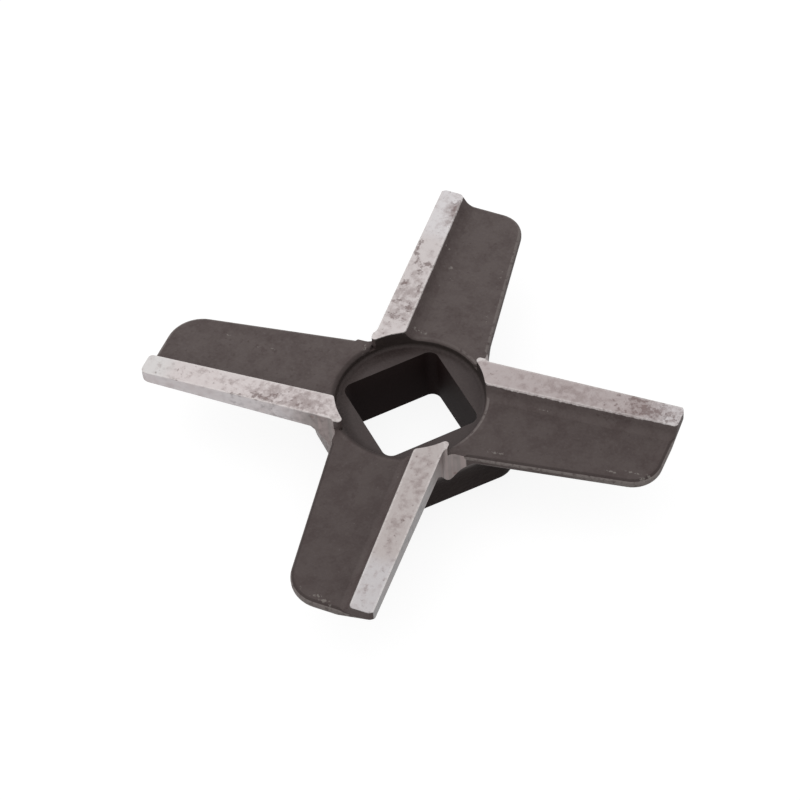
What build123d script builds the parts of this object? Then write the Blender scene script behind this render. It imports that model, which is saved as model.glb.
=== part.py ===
from build123d import *
import os
from math import cos, hypot, radians, sin, tan

# A four-armed meat grinder knife, cast in one piece and then ground.
# The boss stands on Z = 0 with its square drive hole on the Z axis, and the
# ground lands that sweep the hole plate face up. Millimetres and degrees.

# Drive hole and the round recess that it opens into
bore_side = 12.0        # across the flats
bore_corner = 1.2       # radius in the corners
recess_radius = 8.7
recess_depth = 2.5      # lands to the floor of the recess
recess_lip = 0.45       # rounding of the rim of the recess on the cast faces
recess_hollow = 0.4     # hollow between wall and floor of the recess

# Boss
knife_height = 10.2     # foot of the boss to the ground lands
boss_length = 19.0      # along X at the foot
boss_width = 18.4       # along Y at the foot
boss_corner = 2.8       # radius of the upright corners
boss_draft = 6.0        # slope of the sides, wider towards the arms
boss_foot_edge = 0.4    # rounding round the foot
flare_drop = 6.8        # lands to where the sides begin to curve outwards
flare_radius = 8.5      # curve of the sides out under the arms
cast_turn = -0.9        # casting against the flats of the drive hole

# Arms, each seen from the lands with its cutting edge on the left
arm_angles = (45, 135, 225, 315)
trail_corners = (3.3, 4.2, 4.2, 3.5)  # plan radius of each arm's trailing corner at the tip
arm_reach = 30.9        # axis to the cutting corner of the tip, along the arm
edge_offset = 6.62      # axis to the cutting face, across the arm
trail_offset = 7.4      # axis to the trailing side, where it would pass the axis
trail_angle = 6.2       # how far the trailing side closes in towards the tip
tip_angle = 3.5         # how far the tip face falls back towards the trailing side
lead_corner = 0.7       # plan radius of the cutting corner at the tip
face_drop = 1.35        # lands to the cast face behind them
arm_depth = 2.8         # lands to the flat of the underside
top_round = 0.5         # cast rounding of the upper rim
under_round = 0.7       # cast rounding of the lower rim
rounded_share = 0.9     # most of a side wall that its two roundings may take

# Land and its flank
land_root_width = 3.2   # land width beside the hub
land_tip_width = 2.75   # land width at the tip
flank_slope = 30.0      # flank behind the land, from upright
flank_fillet = 1.2      # hollow where the flank meets the cast face
land_end_corner = 0.4   # plan radius of the land's inner end

# Undercut below the cutting edge
edge_height_root = 2.5   # height of the cast leading side beside the hub
edge_height_tip = 1.7    # height of the cast leading side at the tip
undercut_angle = 14.0    # rise of the underside towards the leading side

# Grinding of the cutting face and of the root beside it
grind_stock = 0.3       # cast stock that the grinding takes off
root_reach = 6.45       # axis to the ground root, along the arm
root_fillet = 1.2       # radius between cutting face and root

# Places worked out from the sizes above
face_z = knife_height - face_drop
floor_z = knife_height - recess_depth
under_z = knife_height - arm_depth
flare_top = knife_height - flare_drop + flare_radius * (1 - sin(radians(boss_draft)))
cast_offset = edge_offset + grind_stock
rounding_scale = min(1, rounded_share * (arm_depth - face_drop) / (top_round + under_round))
wall_scale = min(1, rounded_share * (recess_depth - face_drop) / (recess_lip + recess_hollow))
root_wall = hypot(root_reach + root_fillet, edge_offset + root_fillet) - root_fillet - recess_radius
hub_reach = hypot(root_reach, (trail_offset - root_reach) / tan(radians(trail_angle)))
lip_round = min(wall_scale * recess_lip, rounded_share * root_wall)
reach = 2 * arm_reach   # far enough for a cut to run clear of the knife
hair = 0.001            # how near an edge lies to a level or outline that it is on


def arm_plan(trail_corner):
    """Outline of one arm seen from above, pointing along +X."""
    closing = tan(radians(trail_angle))
    falling = tan(radians(tip_angle))
    corner_x = (arm_reach - (edge_offset + trail_offset) * falling) / (1 - closing * falling)
    outline = Polyline(
        (0, cast_offset),
        (arm_reach + grind_stock * falling, cast_offset),
        (corner_x, corner_x * closing - trail_offset),
        (0, -trail_offset),
        close=True,
    )
    plan = make_face(outline)
    tip_corners = plan.vertices().sort_by(Axis.X)[-2:].sort_by(Axis.Y)
    plan = fillet(tip_corners[0], trail_corner)
    return fillet(plan.vertices().sort_by(Axis.X)[-1], grind_stock + lead_corner)


def flank_cut():
    """Space over the cast face: flank, hollow and face in one profile."""
    lean = tan(radians(flank_slope))
    profile = Polyline(
        (-reach * lean, reach),
        (face_drop * lean, -face_drop),
        (reach, -face_drop),
        (reach, reach),
        close=True,
    )
    space = make_face(profile)
    hollow = space.vertices().group_by(Axis.Y)[0].sort_by(Axis.X)[0]
    space = fillet(hollow, flank_fillet)
    root = Vector(recess_radius, edge_offset - land_root_width, knife_height)
    tip = Vector(arm_reach, edge_offset - land_tip_width, knife_height)
    along = (tip - root).normalized()
    behind = along.cross(Vector(0, 0, 1))
    section = Plane(origin=tip + along * reach, x_dir=behind, z_dir=along * -1)
    return extrude(section * space, amount=2 * reach)


def undercut():
    """Space under the cutting edge, bounded by one sloping plane."""
    root = Vector(recess_radius, edge_offset, knife_height - edge_height_root)
    tip = Vector(arm_reach, edge_offset, knife_height - edge_height_tip)
    along = (tip - root).normalized()
    slope = radians(undercut_angle)
    below = along.cross(Vector(0, -cos(slope), -sin(slope))).normalized()
    plane = Plane(origin=tip, x_dir=along, z_dir=below)
    return extrude(plane * Rectangle(2 * reach, 2 * reach), amount=reach)


def arm(trail_corner):
    """One cast arm, pointing along +X, before rounding and grinding."""
    blank = Pos(0, 0, under_z) * extrude(arm_plan(trail_corner), amount=arm_depth)
    return blank - flank_cut() - undercut()


def flared_boss():
    """Boss with drafted sides that curve out into a sheet over it."""
    foot = RectangleRounded(boss_length, boss_width, boss_corner)
    boss = extrude(foot, amount=flare_top, taper=-boss_draft)
    sheet = Pos(0, 0, flare_top) * extrude(Rectangle(2 * reach, 2 * reach), amount=knife_height)
    body = boss + sheet
    ring = body.edges().filter_by_position(Axis.Z, flare_top - hair, flare_top + hair)
    ring = ring.filter_by(lambda edge: max(abs(edge.center().X), abs(edge.center().Y)) < reach - hair)
    body = fillet(ring, flare_radius)
    return fillet(body.faces().sort_by(Axis.Z)[0].edges(), boss_foot_edge)


def rim(body, plan, level):
    """Edges at one level that lie on the outline of the casting."""
    outline = plan.faces()[0].outer_wire()
    edges = body.edges().filter_by_position(Axis.Z, level - hair, level + hair)
    return edges.filter_by(lambda edge: outline.distance_to(edge.center() - Vector(0, 0, level)) < hair)


def filled_corners(plan):
    """Hub seen from above, with stock left in the corners where the roots are ground."""
    corners = plan.vertices().sort_by_distance((0, 0))[:len(arm_angles)]
    return fillet(corners, root_fillet + grind_stock) & Circle(hub_reach)


def undercut_tips(body):
    """The outermost edge of each undercut, where it meets the tip face."""
    edges = body.edges().filter_by_position(Axis.Z, under_z + hair, face_z)
    edges = edges.filter_by(lambda edge: abs(edge.bounding_box().min.Z - under_z) < hair)
    sloping = edges.filter_by(lambda edge: edge.bounding_box().size.X > hair)
    return sloping.sort_by(lambda edge: edge.center().length)[-len(arm_angles):]


def casting():
    """Boss and arms in one, with the rims of the arms rounded."""
    turns = [(Rot(0, 0, angle), corner) for angle, corner in zip(arm_angles, trail_corners)]
    plan = Sketch() + [turn * arm_plan(corner) for turn, corner in turns]
    boss = flared_boss()
    body = (boss & extrude(plan, amount=face_z)) + [turn * arm(corner) for turn, corner in turns]
    body = fillet(rim(body, plan, face_z), rounding_scale * top_round)
    body = fillet(rim(body, plan, under_z) + undercut_tips(body), rounding_scale * under_round)
    return body + (boss & extrude(filled_corners(plan), amount=face_z))


def grinding():
    """What the wheel takes off one arm: cutting face and root beside it."""
    swept = Pos(root_reach, edge_offset, 0) * Rectangle(reach, reach, align=(Align.MIN, Align.MIN))
    inner_corner = swept.vertices().group_by(Axis.X)[0].sort_by(Axis.Y)[0]
    return extrude(fillet(inner_corner, root_fillet), amount=knife_height)


def land_end():
    """What is cleared above the cast faces at the inner end of one land, seen from above."""
    beside = Pos(0, cast_offset, 0) * Rectangle(reach, reach, align=(Align.MIN, Align.MIN))
    return Circle(recess_radius) + beside


def land_corner():
    """The sharp inner corner of one land, outside its rounding."""
    cleared = land_end()
    corner = cleared.vertices().sort_by_distance((recess_radius, cast_offset))[0]
    sliver = fillet(corner, land_end_corner) - cleared
    return Pos(0, 0, face_z - lip_round) * extrude(sliver, amount=knife_height)


def recess():
    """Round recess, with the space over it and beside the lands."""
    space = Pos(0, 0, floor_z) * extrude(Circle(recess_radius), amount=knife_height)
    space = fillet(space.edges().sort_by(Axis.Z)[0], wall_scale * recess_hollow)
    above = Pos(0, 0, face_z) * extrude(land_end(), amount=knife_height)
    return space + [Rot(0, 0, angle) * above for angle in arm_angles]


def lips(body):
    """The rim of the recess where it lies on the cast faces."""
    edges = body.edges().filter_by(GeomType.CIRCLE)
    edges = edges.filter_by_position(Axis.Z, face_z - hair, face_z + hair)
    return edges.filter_by(lambda edge: abs(edge.radius - recess_radius) < hair)


def knife():
    """The casting, ground on all four arms, recessed and bored."""
    body = casting() - [Rot(0, 0, angle) * grinding() for angle in arm_angles] - recess()
    if lip_round > 0:
        body = fillet(lips(body), lip_round)
    body = body - [Rot(0, 0, angle) * land_corner() for angle in arm_angles]
    bore = extrude(RectangleRounded(bore_side, bore_side, bore_corner), amount=knife_height)
    return Rot(0, 0, cast_turn) * body - bore


os.makedirs("parts", exist_ok=True)
grinder_knife = knife()
export_step(grinder_knife, "parts/grinder_knife.step")
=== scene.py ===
from math import cos, radians, sin

import bpy
from mathutils import Matrix, Vector


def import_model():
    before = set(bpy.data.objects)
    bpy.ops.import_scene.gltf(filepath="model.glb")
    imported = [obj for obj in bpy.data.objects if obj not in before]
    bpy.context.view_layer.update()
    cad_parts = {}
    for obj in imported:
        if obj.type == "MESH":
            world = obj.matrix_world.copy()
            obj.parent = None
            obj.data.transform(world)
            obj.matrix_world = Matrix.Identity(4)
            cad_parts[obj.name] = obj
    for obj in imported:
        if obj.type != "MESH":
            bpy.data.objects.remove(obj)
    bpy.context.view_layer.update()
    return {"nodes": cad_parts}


# A cast four-armed grinder knife with ground lands, cutting faces and roots.
# Sizes of the knife are in millimetres and in its own frame, as it stands on its boss.

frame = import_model()
knife = frame["nodes"]["grinder_knife"]

MM = 0.001
KNIFE_HEIGHT = 10.2
FACE_Z = 8.85           # cast faces of the arms
UNDER_Z = 7.4           # flat of the underside
RECESS_RADIUS = 8.7
RECESS_FLOOR = 7.7
BORE_HALF = 6.0
EDGE_OFFSET = 6.62      # axis to the ground cutting faces
ROOT_REACH = 6.45       # axis to the ground roots
ROOT_FILLET = 1.2
LAND_BACK = 3.25        # axis to the back of the lands, where it would pass the axis
LAND_BACK_RISE = 0.02   # how much farther off that is for each millimetre along the arm
CAST_TURN = -0.9
NORTH_ANGLE = 45        # the other arms follow at quarter turns

# Side of the boss that the wheel ran out on, between the west and the south arm
RUNOUT_Z = (0.6, 8.3)
RUNOUT_Y = (0.5, 6.6)
RUNOUT_X = -9.1
RUNOUT_RADIUS = 11.8

# The photograph's view; the camera's place is from the middle of the lands, before its turn
VIEW_TURN = -22.72      # about the axis of the drive hole
VIEW_ELEVATION = 50.53
VIEW_ROLL = 4.71
VIEW_PLACE = (-1.186, -219.6, 264.93)
LENS = 135
SENSOR_WIDTH = 36

# Studio, in metres
FLOOR_HALF = 3.0
FLOOR_GREY = (0.25, 0.25, 0.25, 1)
FLOOR_GLOW = 0.88       # strength of the floor's own light to the camera
WORLD_LIGHT = 0.6
WHITE = (1, 1, 1, 1)
# Place, size and power of each softbox
LAMPS = {
    "softbox_back": ((-0.03, 0.2, 0.28), 0.3, 0.12),
    "softbox_left": ((-0.4, -0.05, 0.3), 0.35, 0.12),
}


def colour(red, green, blue):
    """A colour given as it looks on a screen, from 0 to 255."""
    shares = [channel / 255 for channel in (red, green, blue)]
    return tuple(((share + 0.055) / 1.055) ** 2.4 for share in shares) + (1.0,)


SKIN = colour(93, 82, 80)
SKIN_LIGHT = colour(112, 104, 101)
SKIN_DARK = colour(80, 67.5, 66)
# Worn chips on the rims, and painted highlight on the rims and the recess lip
RIM = colour(138, 129, 126)
SCUFF = colour(150, 143, 138)
# Painted shade on the wall of the recess
RECESS_WALL_SHADE = colour(44, 36, 33)
RECESS_SKIN = colour(72, 63, 62)
# Painted shade round the recess floor, at the top of the front arms' sides and left of the recess lip
PAINTED_SHADE = colour(47, 36, 34)
# Painted shade in the bore and on the boss under the arms
BORE_SHADE = colour(29, 16, 15)
BOSS_SHADE = colour(33, 25, 24)
STAIN = colour(166, 149, 147)
PIT = colour(120, 98, 95)
ROOT = colour(139, 131, 129)
# Painted highlight along the edges of the lands
HIGHLIGHT = colour(214, 209, 207)
SKIN_ROUGHNESS = 0.64
CLEAN_ROUGHNESS = 0.42
SPOILT_ROUGHNESS = 0.6
CLEAN_METALLIC = 0.7
SPOILT_METALLIC = 0.3
GLOSS = 0.35
DARK_GLOSS = 0.06       # in the bore and on the boss

# Each arm's land, its clean end, where that end begins, and the cutting face with painted light and shade
LANDS = {
    "north": (colour(200, 193, 192), colour(209, 205, 206), 22.0, colour(178, 173, 173)),
    "west": (colour(200, 192, 191), colour(201, 198, 197), 26.5, colour(202, 196, 197)),
    "south": (colour(178, 170, 168), colour(188, 184, 185), 22.5, colour(142, 139, 139)),
    "east": (colour(176, 166, 165), colour(203, 198, 199), 25.5, colour(172, 167, 167)),
}
# Third coordinate of each arm's places and grinding marks, so that no two arms are alike
LAYERS = {"north": 0.0, "west": 100.0, "south": 200.0, "east": 300.0}
PLACE_PEAK = 0.3        # how far a place's centre is above its strength
PLACE_FADE = 0.7        # how far the edge of its ellipse is below its centre
# Pitted places on the lands: centre along and across the arm, half length, half width, strength
PITTED = {
    "north": ((28.5, 3.9, 1.0, 0.6, 1.2), (27.6, 3.5, 0.9, 0.5, 1.2), (20.9, 6.3, 1.3, 0.35, 0.8),
              (19.1, 5.8, 0.8, 0.3, 0.7), (18.9, 4.2, 0.4, 0.9, 0.8), (17.8, 4.9, 1.3, 0.3, 0.8),
              (15.3, 6.0, 0.6, 0.5, 0.7), (14.8, 4.1, 1.4, 0.6, 0.6), (11.6, 4.3, 0.8, 0.6, 0.7),
              (10.2, 5.6, 0.7, 0.9, 0.8), (9.8, 4.3, 0.7, 0.6, 0.7), (12.5, 6.0, 0.7, 0.5, 0.7)),
    "west": ((16.5, 6.0, 0.5, 0.5, 1.0), (15.2, 6.2, 1.1, 0.4, 0.9), (14.4, 5.3, 0.9, 0.9, 0.5),
             (18.9, 6.5, 1.8, 0.2, 0.6), (11.5, 5.6, 3.0, 1.2, 0.25), (25.2, 4.6, 0.8, 0.4, 0.3)),
    "south": ((21.9, 4.9, 0.9, 0.5, 0.15), (18.0, 5.6, 0.7, 0.6, 0.2)),
    "east": ((27.3, 5.0, 2.6, 1.2, 0.92), (25.3, 6.2, 0.9, 0.5, 1.0), (29.3, 4.4, 0.8, 0.5, 0.9),
             (24.4, 4.2, 1.4, 0.5, 0.6), (23.0, 4.8, 2.5, 1.2, 0.2)),
}
# Stained places on the lands, given in the same way
STAINED = {
    "north": ((27.6, 4.2, 1.4, 0.8, 0.9), (25.4, 4.4, 1.2, 0.6, 0.4), (13.0, 5.0, 6.0, 2.4, 0.5)),
    "west": ((20.5, 5.0, 2.6, 1.2, 0.15), (15.0, 5.2, 2.2, 1.2, 0.8), (11.0, 5.2, 4.0, 2.0, 0.75)),
    "south": ((19.0, 5.2, 4.0, 1.6, 0.35), (12.0, 5.2, 5.0, 2.0, 0.4)),
    "east": ((27.2, 5.0, 2.6, 1.6, 1.0), (18.0, 5.0, 8.0, 2.4, 0.5)),
}
# Light scuffs on the cast faces, given in the same way
SCUFFED = {
    "north": ((22.8, 3.2, 0.25, 0.4, 0.8), (20.2, 1.9, 0.3, 0.7, 0.7), (18.5, 1.2, 0.5, 0.5, 0.5),
              (20.4, -4.2, 1.4, 0.2, 0.7), (14.0, -4.7, 0.9, 0.25, 0.8), (9.7, 2.2, 0.4, 1.3, 0.7)),
    "west": ((17.9, -2.1, 0.5, 0.15, 0.9), (23.6, -2.6, 0.8, 0.15, 0.6), (19.6, -1.9, 0.3, 0.3, 0.5),
             (7.6, -5.4, 0.35, 0.9, 0.9)),
    "south": ((29.6, -0.4, 0.2, 0.5, 1.1), (29.9, 0.5, 0.2, 0.6, 1.1), (30.2, 1.4, 0.2, 0.4, 0.9),
              (28.8, -2.6, 0.4, 0.3, 0.8), (11.5, 2.6, 0.6, 0.3, 0.5)),
    "east": ((29.7, -3.0, 0.5, 0.35, 1.0), (29.2, -3.5, 0.7, 0.4, 0.9), (27.7, -3.0, 0.8, 0.12, 1.0),
             (25.5, -3.6, 1.0, 0.12, 0.9), (15.5, 2.6, 0.7, 0.15, 0.6), (12.0, -4.9, 1.0, 0.3, 0.9)),
}
# Dark spots on the cast faces, given in the same way
SPOTTED = {
    "north": ((13.5, -1.0, 0.6, 0.4, 0.6), (21.7, 3.6, 0.25, 0.25, 0.8)),
    "west": ((19.0, -1.8, 1.2, 0.4, 0.9), (13.4, -3.0, 0.9, 0.3, 0.8), (12.9, -1.6, 1.0, 0.25, 0.6)),
    "south": ((21.5, 0.4, 0.5, 0.35, 1.0), (14.8, -1.4, 2.2, 0.8, 0.5), (17.5, 0.6, 1.6, 0.5, 0.4)),
    "east": ((23.6, 3.4, 2.0, 0.4, 0.6), (12.0, 2.4, 0.5, 0.3, 0.6)),
}
# Small dark dots on the ground sides, by their places on the knife
DOTS = ((-11.42, 2.27, 9.58), (0.66, -9.95, 5.4))


class Wires:
    """Builds one node tree; a method that makes nodes gives back what comes out of them."""

    def __init__(self, owner):
        owner.use_nodes = True
        self.tree = owner.node_tree
        self.tree.nodes.clear()

    def node(self, kind, **settings):
        made = self.tree.nodes.new(kind)
        for key, value in settings.items():
            setattr(made, key, value)
        return made

    def feed(self, socket, value):
        if isinstance(value, bpy.types.NodeSocket):
            self.tree.links.new(value, socket)
        else:
            socket.default_value = value

    def math(self, operation, *values, clamp=False):
        made = self.node("ShaderNodeMath", operation=operation, use_clamp=clamp)
        for socket, value in zip(made.inputs, values):
            self.feed(socket, value)
        return made.outputs[0]

    def chain(self, operation, values):
        """One operation on the first two values, then on the result and the next."""
        total = values[0]
        for value in values[1:]:
            total = self.math(operation, total, value)
        return total

    def add(self, *values):
        return self.chain("ADD", values)

    def times(self, *values):
        return self.chain("MULTIPLY", values)

    def most(self, *values):
        return self.chain("MAXIMUM", values)

    def line(self, value, slope, start):
        return self.math("MULTIPLY_ADD", value, slope, start)

    def distance(self, first, second):
        return self.math("SQRT", self.add(self.times(first, first), self.times(second, second)))

    def ramp(self, value, start, end, low=0.0, high=1.0):
        """Low before start and high after end, with a smooth way between them."""
        made = self.node("ShaderNodeMapRange", interpolation_type="SMOOTHSTEP")
        self.feed(made.inputs["Value"], value)
        self.feed(made.inputs["From Min"], start)
        self.feed(made.inputs["From Max"], end)
        self.feed(made.inputs["To Min"], low)
        self.feed(made.inputs["To Max"], high)
        return made.outputs["Result"]

    def fall(self, value, start, end):
        """One before start and nothing after end."""
        return self.ramp(value, start, end, 1.0, 0.0)

    def ease(self, value, low, high):
        """Low where the value is nothing and high where it is one."""
        return self.ramp(value, 0.0, 1.0, low, high)

    def band(self, value, low, high, soft):
        """One between low and high, and nothing a little outside them."""
        return self.times(self.ramp(value, low - soft, low), self.fall(value, high, high + soft))

    def vector(self, operation, *values):
        made = self.node("ShaderNodeVectorMath", operation=operation)
        for socket, value in zip(made.inputs, values):
            self.feed(socket, value)
        return made.outputs["Value" if operation == "LENGTH" else "Vector"]

    def split(self, vector):
        made = self.node("ShaderNodeSeparateXYZ")
        self.feed(made.inputs[0], vector)
        return made.outputs[0], made.outputs[1], made.outputs[2]

    def joined(self, *parts):
        made = self.node("ShaderNodeCombineXYZ")
        for socket, part in zip(made.inputs, parts):
            self.feed(socket, part)
        return made.outputs[0]

    def noise(self, vector, grain, detail=2.0, roughness=0.6):
        """Noise from 0 to 1 whose lumps are about grain millimetres across."""
        made = self.node("ShaderNodeTexNoise", noise_dimensions="3D")
        self.feed(made.inputs["Vector"], vector)
        made.inputs["Scale"].default_value = 1 / grain
        made.inputs["Detail"].default_value = detail
        made.inputs["Roughness"].default_value = roughness
        return made.outputs["Fac"]

    def mix(self, factor, first, second):
        """First colour where the factor is nothing, second where it is one."""
        made = self.node("ShaderNodeMix", data_type="RGBA")
        self.feed(made.inputs[0], factor)
        self.feed(made.inputs[6], first)
        self.feed(made.inputs[7], second)
        return made.outputs[2]

    def blend(self, factor, first, second):
        """The same as mix, for numbers."""
        made = self.node("ShaderNodeMix", data_type="FLOAT")
        self.feed(made.inputs[0], factor)
        self.feed(made.inputs[2], first)
        self.feed(made.inputs[3], second)
        return made.outputs[0]

    def turned(self, vector, degrees):
        """X, Y and Z in a frame that stands turned about the drive hole."""
        made = self.node("ShaderNodeVectorRotate", rotation_type="Z_AXIS")
        self.feed(made.inputs["Vector"], vector)
        made.inputs["Angle"].default_value = radians(-degrees)
        return self.split(made.outputs[0])


class Where:
    """Where on the knife a point lies, in millimetres."""

    def __init__(self, w):
        coordinates = w.node("ShaderNodeTexCoord")
        scaled = w.node("ShaderNodeVectorMath", operation="SCALE")
        w.feed(scaled.inputs[0], coordinates.outputs["Object"])
        scaled.inputs["Scale"].default_value = 1 / MM
        self.place = scaled.outputs[0]
        self.x, self.y, self.z = w.split(self.place)
        self.radius = w.distance(self.x, self.y)
        self.farther = w.most(w.math("ABSOLUTE", self.x), w.math("ABSOLUTE", self.y))

        # The nearest arm, with u along it and v across it towards its cutting edge
        north_u, north_v, _ = w.turned(self.place, NORTH_ANGLE + CAST_TURN)
        far_u = w.math("ABSOLUTE", north_u)
        far_v = w.math("ABSOLUTE", north_v)
        along_north = w.math("GREATER_THAN", far_u, far_v)
        along_west = w.math("SUBTRACT", 1.0, along_north)
        across_north = w.times(north_v, w.math("SIGN", north_u))
        across_west = w.times(north_u, w.math("SIGN", north_v), -1.0)
        self.u = w.most(far_u, far_v)
        self.v = w.blend(along_north, across_west, across_north)
        self.is_arm = {
            "north": w.times(along_north, w.math("GREATER_THAN", north_u, 0.0)),
            "south": w.times(along_north, w.math("LESS_THAN", north_u, 0.0)),
            "west": w.times(along_west, w.math("GREATER_THAN", north_v, 0.0)),
            "east": w.times(along_west, w.math("LESS_THAN", north_v, 0.0)),
        }
        layer = w.add(*[w.times(is_here, LAYERS[name]) for name, is_here in self.is_arm.items()])
        self.on_arm = w.joined(self.u, self.v, layer)


class Grain:
    """Noise of several sizes, for the cast skin and for the ground steel."""

    def __init__(self, w, at):
        self.mottle = w.noise(at.place, 2.4, 3.0)
        self.grit = w.noise(at.place, 0.3, 2.0)
        self.speck = w.noise(at.place, 0.5, 1.0)
        self.wander = w.add(w.noise(at.place, 0.6, 2.0), -0.5)
        self.stain = w.noise(at.place, 0.8, 4.0, 0.7)
        self.pits = w.noise(at.place, 0.5, 2.0)
        self.marks = w.noise(at.on_arm, 0.45, 1.0)


def places(w, at, table):
    """The strongest of a table's places here, each one fading out around its ellipse."""
    found = []
    for name, spots in table.items():
        for along, across, half_length, half_width, strength in spots:
            centre = (-along / half_length, -across / half_width, -LAYERS[name])
            sizes = (1 / half_length, 1 / half_width, 1.0)
            near = w.vector("LENGTH", w.vector("MULTIPLY_ADD", at.on_arm, sizes, centre))
            found.append(w.line(near, -PLACE_FADE, strength + PLACE_PEAK))
    return w.math("MINIMUM", w.most(*found, 0.0), 1.0)


def dot(w, at, centre):
    """A small dark dot round one place of the knife."""
    off = w.vector("SUBTRACT", at.place, centre)
    return w.fall(w.vector("LENGTH", off), 0.1, 0.35)


def within_grinding(w, along, across):
    """One where the wheel reached, given places along and across the arm that it ground."""
    short_along = w.most(w.math("SUBTRACT", ROOT_REACH + ROOT_FILLET, along), 0.0)
    short_across = w.most(w.math("SUBTRACT", EDGE_OFFSET + ROOT_FILLET, across), 0.0)
    off = w.distance(short_along, short_across)
    return w.fall(off, ROOT_FILLET + 0.015, ROOT_FILLET + 0.03)


class Finishes:
    """How much of each finish a point of the knife has, from 0 to 1."""

    def __init__(self, w, at, grain):
        x, y, z, radius = at.x, at.y, at.z, at.radius
        front_arms = w.add(at.is_arm["south"], at.is_arm["east"])

        # Cutting faces and roots; the root of the arm before lies across the trailing side's corner
        face = w.times(within_grinding(w, at.u, at.v), w.ramp(at.v, EDGE_OFFSET - 0.12, EDGE_OFFSET - 0.07))
        past = w.times(
            within_grinding(w, w.times(at.v, -1.0), at.u),
            w.fall(at.v, 0.15 - ROOT_REACH, 0.2 - ROOT_REACH),
            w.ramp(radius, RECESS_RADIUS + 0.2, RECESS_RADIUS + 0.4),
        )
        runout = w.times(
            w.band(z, *RUNOUT_Z, 0.3),
            w.fall(x, RUNOUT_X - 0.2, RUNOUT_X),
            w.band(y, *RUNOUT_Y, 0.5),
            w.fall(radius, RUNOUT_RADIUS, RUNOUT_RADIUS + 0.6),
        )
        self.side = w.most(face, past, w.times(runout, 0.75))
        self.root = w.fall(at.u, 8.5, 14.0)

        # Lands, and the worn top of the east arm's flank
        self.land = w.ramp(w.line(grain.wander, 0.16, z), KNIFE_HEIGHT - 0.16, KNIFE_HEIGHT - 0.09)
        worn = w.ramp(w.line(grain.wander, 0.25, z), KNIFE_HEIGHT - 0.22, KNIFE_HEIGHT - 0.14)
        worn_flank = w.times(worn, at.is_arm["east"], w.band(at.u, 11.0, 26.0, 1.0))
        self.ground = w.most(self.land, self.side, worn_flank)
        self.stained = w.ramp(w.line(places(w, at, STAINED), 0.24, grain.stain), 0.45, 0.85)
        self.pitted = w.ramp(w.line(places(w, at, PITTED), 0.26, grain.pits), 0.61, 0.82)
        self.spoilt = w.math("ADD", self.stained, self.pitted, clamp=True)

        # Recess, bore and boss
        self.inside = w.fall(radius, RECESS_RADIUS + 0.02, RECESS_RADIUS + 0.05)
        self.above_floor = w.ramp(z, RECESS_FLOOR + 0.03, RECESS_FLOOR + 0.4)
        below_floor = w.fall(z, RECESS_FLOOR - 0.03, RECESS_FLOOR - 0.01)
        self.bore = w.times(w.fall(at.farther, BORE_HALF + 0.01, BORE_HALF + 0.05), below_floor)
        self.boss = w.fall(z, 5.0, 7.2)

        # Cast rims of the arms, clear of the recess, with worn chips, painted highlight and painted shade
        outside = w.ramp(radius, RECESS_RADIUS + 0.7, RECESS_RADIUS + 1.1)
        on_rim = w.band(z, FACE_Z - 0.24, FACE_Z - 0.04, 0.05)
        below_rim = w.band(z, FACE_Z - 0.5, FACE_Z - 0.2, 0.06)
        on_tip = w.times(w.band(z, UNDER_Z + 0.2, FACE_Z - 0.2, 0.06), w.ramp(at.u, 18.0, 26.0))
        self.rim = w.times(on_rim, outside, w.line(front_arms, -0.7, 0.7))
        self.rim_low = w.times(w.most(below_rim, on_tip), outside, front_arms)
        self.rim_shade = w.times(w.band(z, FACE_Z - 0.13, FACE_Z - 0.02, 0.03), outside, front_arms)

        # Rounded rim of the recess, painted highlight at the right and in front, painted shade at the left
        on_lip = w.band(z, FACE_Z - 0.3, FACE_Z + 0.05, 0.1)
        round_recess = w.band(radius, RECESS_RADIUS + 0.22, RECESS_RADIUS + 0.42, 0.1)
        self.lip_highlight = w.times(round_recess, on_lip, w.ramp(x, 0.0, 4.0), w.ramp(y, -1.0, 5.0, 1.0, 0.3))
        near_recess = w.fall(radius, RECESS_RADIUS + 0.3, RECESS_RADIUS + 0.7)
        self.lip_shade = w.times(near_recess, on_lip, w.fall(x, -1.0, 3.0))


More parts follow.
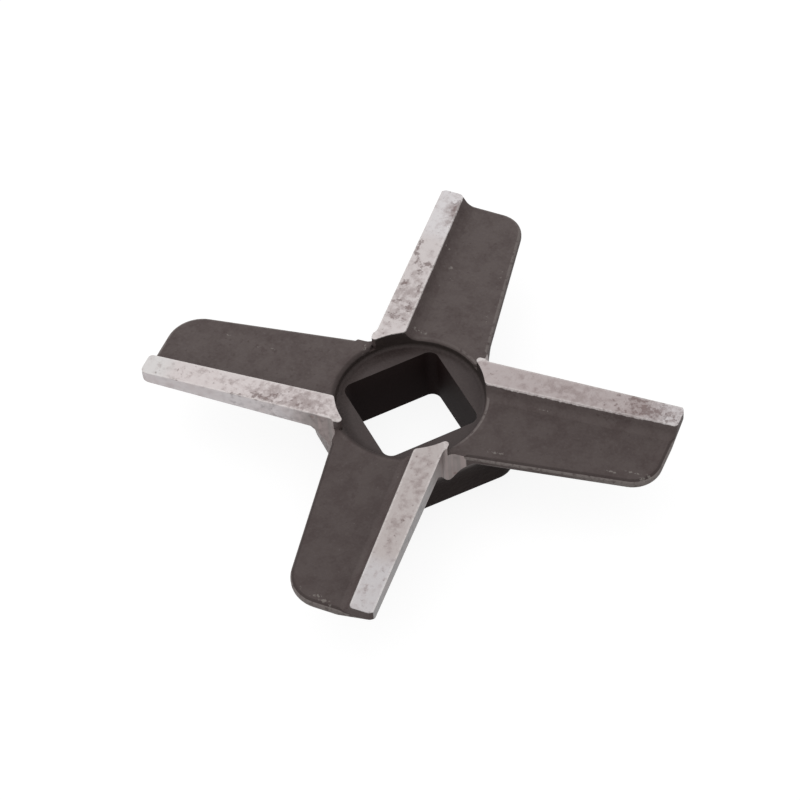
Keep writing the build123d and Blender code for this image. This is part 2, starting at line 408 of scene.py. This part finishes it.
def cast_skin(w, at, finish, grain):
    """Colour of the casting from arms to recess, boss and bore, with painted shade and highlights."""
    scuff = w.ramp(w.line(places(w, at, SCUFFED), 0.3, grain.grit), 0.72, 0.86)
    spot = w.fall(w.line(places(w, at, SPOTTED), -0.3, grain.speck), 0.2, 0.34)
    skin = w.mix(w.ramp(grain.mottle, 0.3, 0.62), SKIN_DARK, SKIN)
    skin = w.mix(w.ramp(grain.grit, 0.4, 0.8, 0.0, 0.2), skin, SKIN_LIGHT)
    # The south arm is painted a little darker, as painted shade
    skin = w.mix(w.times(at.is_arm["south"], 0.12), skin, SKIN_DARK)
    skin = w.mix(w.times(spot, 0.8), skin, SKIN_DARK)
    # Light chips and painted highlight on the rims, and painted highlight on the recess lip
    light = w.most(finish.rim, finish.rim_low, w.times(finish.lip_highlight, 0.6))
    skin = w.mix(w.times(light, w.ramp(grain.speck, 0.2, 0.55)), skin, RIM)
    # Painted shade at the top of the front arms' sides and at the left of the recess lip
    dark = w.most(w.times(finish.rim_shade, 0.6), w.times(finish.lip_shade, 0.7))
    skin = w.mix(dark, skin, PAINTED_SHADE)
    skin = w.mix(w.times(scuff, 0.6), skin, SCUFF)

    # Painted shade lies round the floor of the recess, more of it at the back and at the left
    leaning = w.line(at.x, -0.05, w.times(at.y, 0.1))
    floor_shade = w.ramp(w.add(at.radius, w.times(grain.mottle, 1.2), leaning), 8.0, 9.0)
    recess = w.mix(w.times(floor_shade, 0.9), RECESS_SKIN, PAINTED_SHADE)
    recess = w.mix(w.ramp(grain.grit, 0.3, 0.7, 0.0, 0.3), recess, SKIN_DARK)
    # The wall of the recess takes its painted shade
    recess = w.mix(finish.above_floor, recess, RECESS_WALL_SHADE)
    skin = w.mix(w.times(finish.inside, 0.9), skin, recess)
    # Painted shade on the boss under the arms, deepest at the right, and in the bore
    skin = w.mix(w.times(finish.boss, w.ramp(at.x, 0.0, 9.0, 0.85, 0.97)), skin, BOSS_SHADE)
    return w.mix(w.times(finish.bore, 0.9), skin, BORE_SHADE)


def ground_steel(w, at, finish, grain):
    """Colour of the lands, cutting faces and roots; land edges and cutting faces carry painted light."""
    land = STAIN
    front = ROOT
    wavy_u = w.line(grain.stain, 4.0, w.add(at.u, -2.0))
    # Each cutting face gets its own tone: painted light and shade by how it turns to the lamps
    for name, (tone, clean_tone, clean_from, face_tone_by_light) in LANDS.items():
        own = w.mix(w.ramp(wavy_u, clean_from, clean_from + 2.5), tone, clean_tone)
        land = w.mix(at.is_arm[name], land, own)
        front = w.mix(at.is_arm[name], front, face_tone_by_light)
    land = w.mix(w.times(finish.stained, 0.65), land, STAIN)
    land = w.mix(w.times(finish.pitted, 0.62), land, PIT)
    # Painted highlight along the back edge and the cutting edge of each land
    behind = w.math("SUBTRACT", at.v, w.line(at.u, LAND_BACK_RISE, LAND_BACK))
    edge_highlight = w.most(w.fall(behind, 0.05, 0.3), w.ramp(at.v, EDGE_OFFSET - 0.32, EDGE_OFFSET - 0.02))
    land = w.mix(w.times(edge_highlight, w.ramp(grain.grit, 0.3, 0.6, 0.05, 0.45)), land, HIGHLIGHT)

    front = w.mix(w.ramp(grain.mottle, 0.4, 0.7, 0.0, 0.3), front, STAIN)
    root = w.mix(w.ramp(grain.marks, 0.3, 0.7, 0.0, 0.5), ROOT, STAIN)
    front = w.mix(finish.root, front, root)
    dots = w.most(*[dot(w, at, centre) for centre in DOTS])
    front = w.mix(w.times(dots, 0.6), front, PIT)
    return w.mix(w.times(finish.side, w.math("SUBTRACT", 1.0, finish.land)), land, front)


def knife_metal():
    """Cast iron skin and ground steel in one material."""
    material = bpy.data.materials.new("knife_metal")
    w = Wires(material)
    at = Where(w)
    grain = Grain(w, at)
    finish = Finishes(w, at, grain)
    skin = cast_skin(w, at, finish, grain)
    steel = ground_steel(w, at, finish, grain)
    steel_roughness = w.ease(finish.spoilt, CLEAN_ROUGHNESS, SPOILT_ROUGHNESS)
    steel_metallic = w.ease(finish.spoilt, CLEAN_METALLIC, SPOILT_METALLIC)
    in_dark = w.most(finish.bore, finish.boss)

    # Bumps are weak on clean steel and in the bore, and strong in the pits
    bump = w.node("ShaderNodeBump")
    strength = w.blend(finish.ground, w.ease(finish.bore, 1.0, 0.2), w.ease(finish.pitted, 0.15, 0.8))
    height = w.add(w.times(grain.grit, 0.03), w.times(grain.mottle, 0.1), w.times(grain.speck, 0.03))
    w.feed(bump.inputs["Strength"], strength)
    bump.inputs["Distance"].default_value = MM
    w.feed(bump.inputs["Height"], height)

    shader = w.node("ShaderNodeBsdfPrincipled")
    w.feed(shader.inputs["Base Color"], w.mix(finish.ground, skin, steel))
    w.feed(shader.inputs["Roughness"], w.blend(finish.ground, SKIN_ROUGHNESS, steel_roughness))
    w.feed(shader.inputs["Metallic"], w.times(finish.ground, steel_metallic))
    w.feed(shader.inputs["Normal"], bump.outputs[0])
    w.feed(shader.inputs["Specular IOR Level"], w.blend(in_dark, GLOSS, DARK_GLOSS))
    output = w.node("ShaderNodeOutputMaterial")
    w.feed(output.inputs["Surface"], shader.outputs[0])
    return material


knife.data.materials.clear()
knife.data.materials.append(knife_metal())


def added(name, data):
    made = bpy.data.objects.new(name, data)
    bpy.context.scene.collection.objects.link(made)
    return made


def camera():
    """The photograph's view, with a long lens and looking down at the lands."""
    elevation = radians(VIEW_ELEVATION)
    roll = radians(VIEW_ROLL)
    turn = Matrix.Rotation(radians(VIEW_TURN), 3, "Z")
    forward = Vector((0, cos(elevation), -sin(elevation)))
    level = Vector((1, 0, 0))
    down = forward.cross(level)
    right = level * cos(roll) + down * sin(roll)
    below = down * cos(roll) - level * sin(roll)
    data = bpy.data.cameras.new("camera")
    data.sensor_width = SENSOR_WIDTH
    data.lens = LENS
    data.clip_start = 0.01
    data.clip_end = 20
    made = added("camera", data)
    axes = Matrix((turn @ right, turn @ -below, turn @ -forward)).transposed()
    where = turn @ Vector(VIEW_PLACE) + Vector((0, 0, KNIFE_HEIGHT))
    made.matrix_world = Matrix.Translation(where * MM) @ axes.to_4x4()
    bpy.context.scene.camera = made


def floor():
    """A pale floor that shows white to the camera and keeps the shadow."""
    half = FLOOR_HALF
    corners = [(-half, -half, 0), (half, -half, 0), (half, half, 0), (-half, half, 0)]
    mesh = bpy.data.meshes.new("floor")
    mesh.from_pydata(corners, [], [(0, 1, 2, 3)])
    made = added("floor", mesh)
    material = bpy.data.materials.new("floor_white")
    w = Wires(material)
    diffuse = w.node("ShaderNodeBsdfDiffuse")
    diffuse.inputs["Color"].default_value = FLOOR_GREY
    glow = w.node("ShaderNodeEmission")
    rays = w.node("ShaderNodeLightPath")
    seen = w.most(
        rays.outputs["Is Camera Ray"],
        rays.outputs["Is Glossy Ray"],
        rays.outputs["Is Transmission Ray"],
    )
    w.feed(glow.inputs["Strength"], w.times(seen, FLOOR_GLOW))
    both = w.node("ShaderNodeAddShader")
    w.feed(both.inputs[0], diffuse.outputs[0])
    w.feed(both.inputs[1], glow.outputs[0])
    output = w.node("ShaderNodeOutputMaterial")
    w.feed(output.inputs["Surface"], both.outputs[0])
    mesh.materials.append(material)


def world():
    """White to the camera and in reflections, and plain soft light from all sides."""
    made = bpy.data.worlds.new("studio")
    bpy.context.scene.world = made
    w = Wires(made)
    rays = w.node("ShaderNodeLightPath")
    choice = w.node("ShaderNodeMixShader")
    w.feed(choice.inputs[0], w.most(rays.outputs["Is Camera Ray"], rays.outputs["Is Glossy Ray"]))
    for socket, strength in ((choice.inputs[1], WORLD_LIGHT), (choice.inputs[2], 1.0)):
        background = w.node("ShaderNodeBackground")
        background.inputs["Color"].default_value = WHITE
        background.inputs["Strength"].default_value = strength
        w.feed(socket, background.outputs[0])
    output = w.node("ShaderNodeOutputWorld")
    w.feed(output.inputs["Surface"], choice.outputs[0])


def lamp(name, place, size, power):
    """A round softbox that faces the knife."""
    data = bpy.data.lights.new(name, "AREA")
    data.shape = "DISK"
    data.size = size
    data.energy = power
    made = added(name, data)
    made.location = place
    made.rotation_mode = "QUATERNION"
    made.rotation_quaternion = (-Vector(place)).to_track_quat("-Z", "Y")


camera()
floor()
world()
for name, (place, size, power) in LAMPS.items():
    lamp(name, place, size, power)
bpy.context.scene.view_settings.view_transform = "Standard"
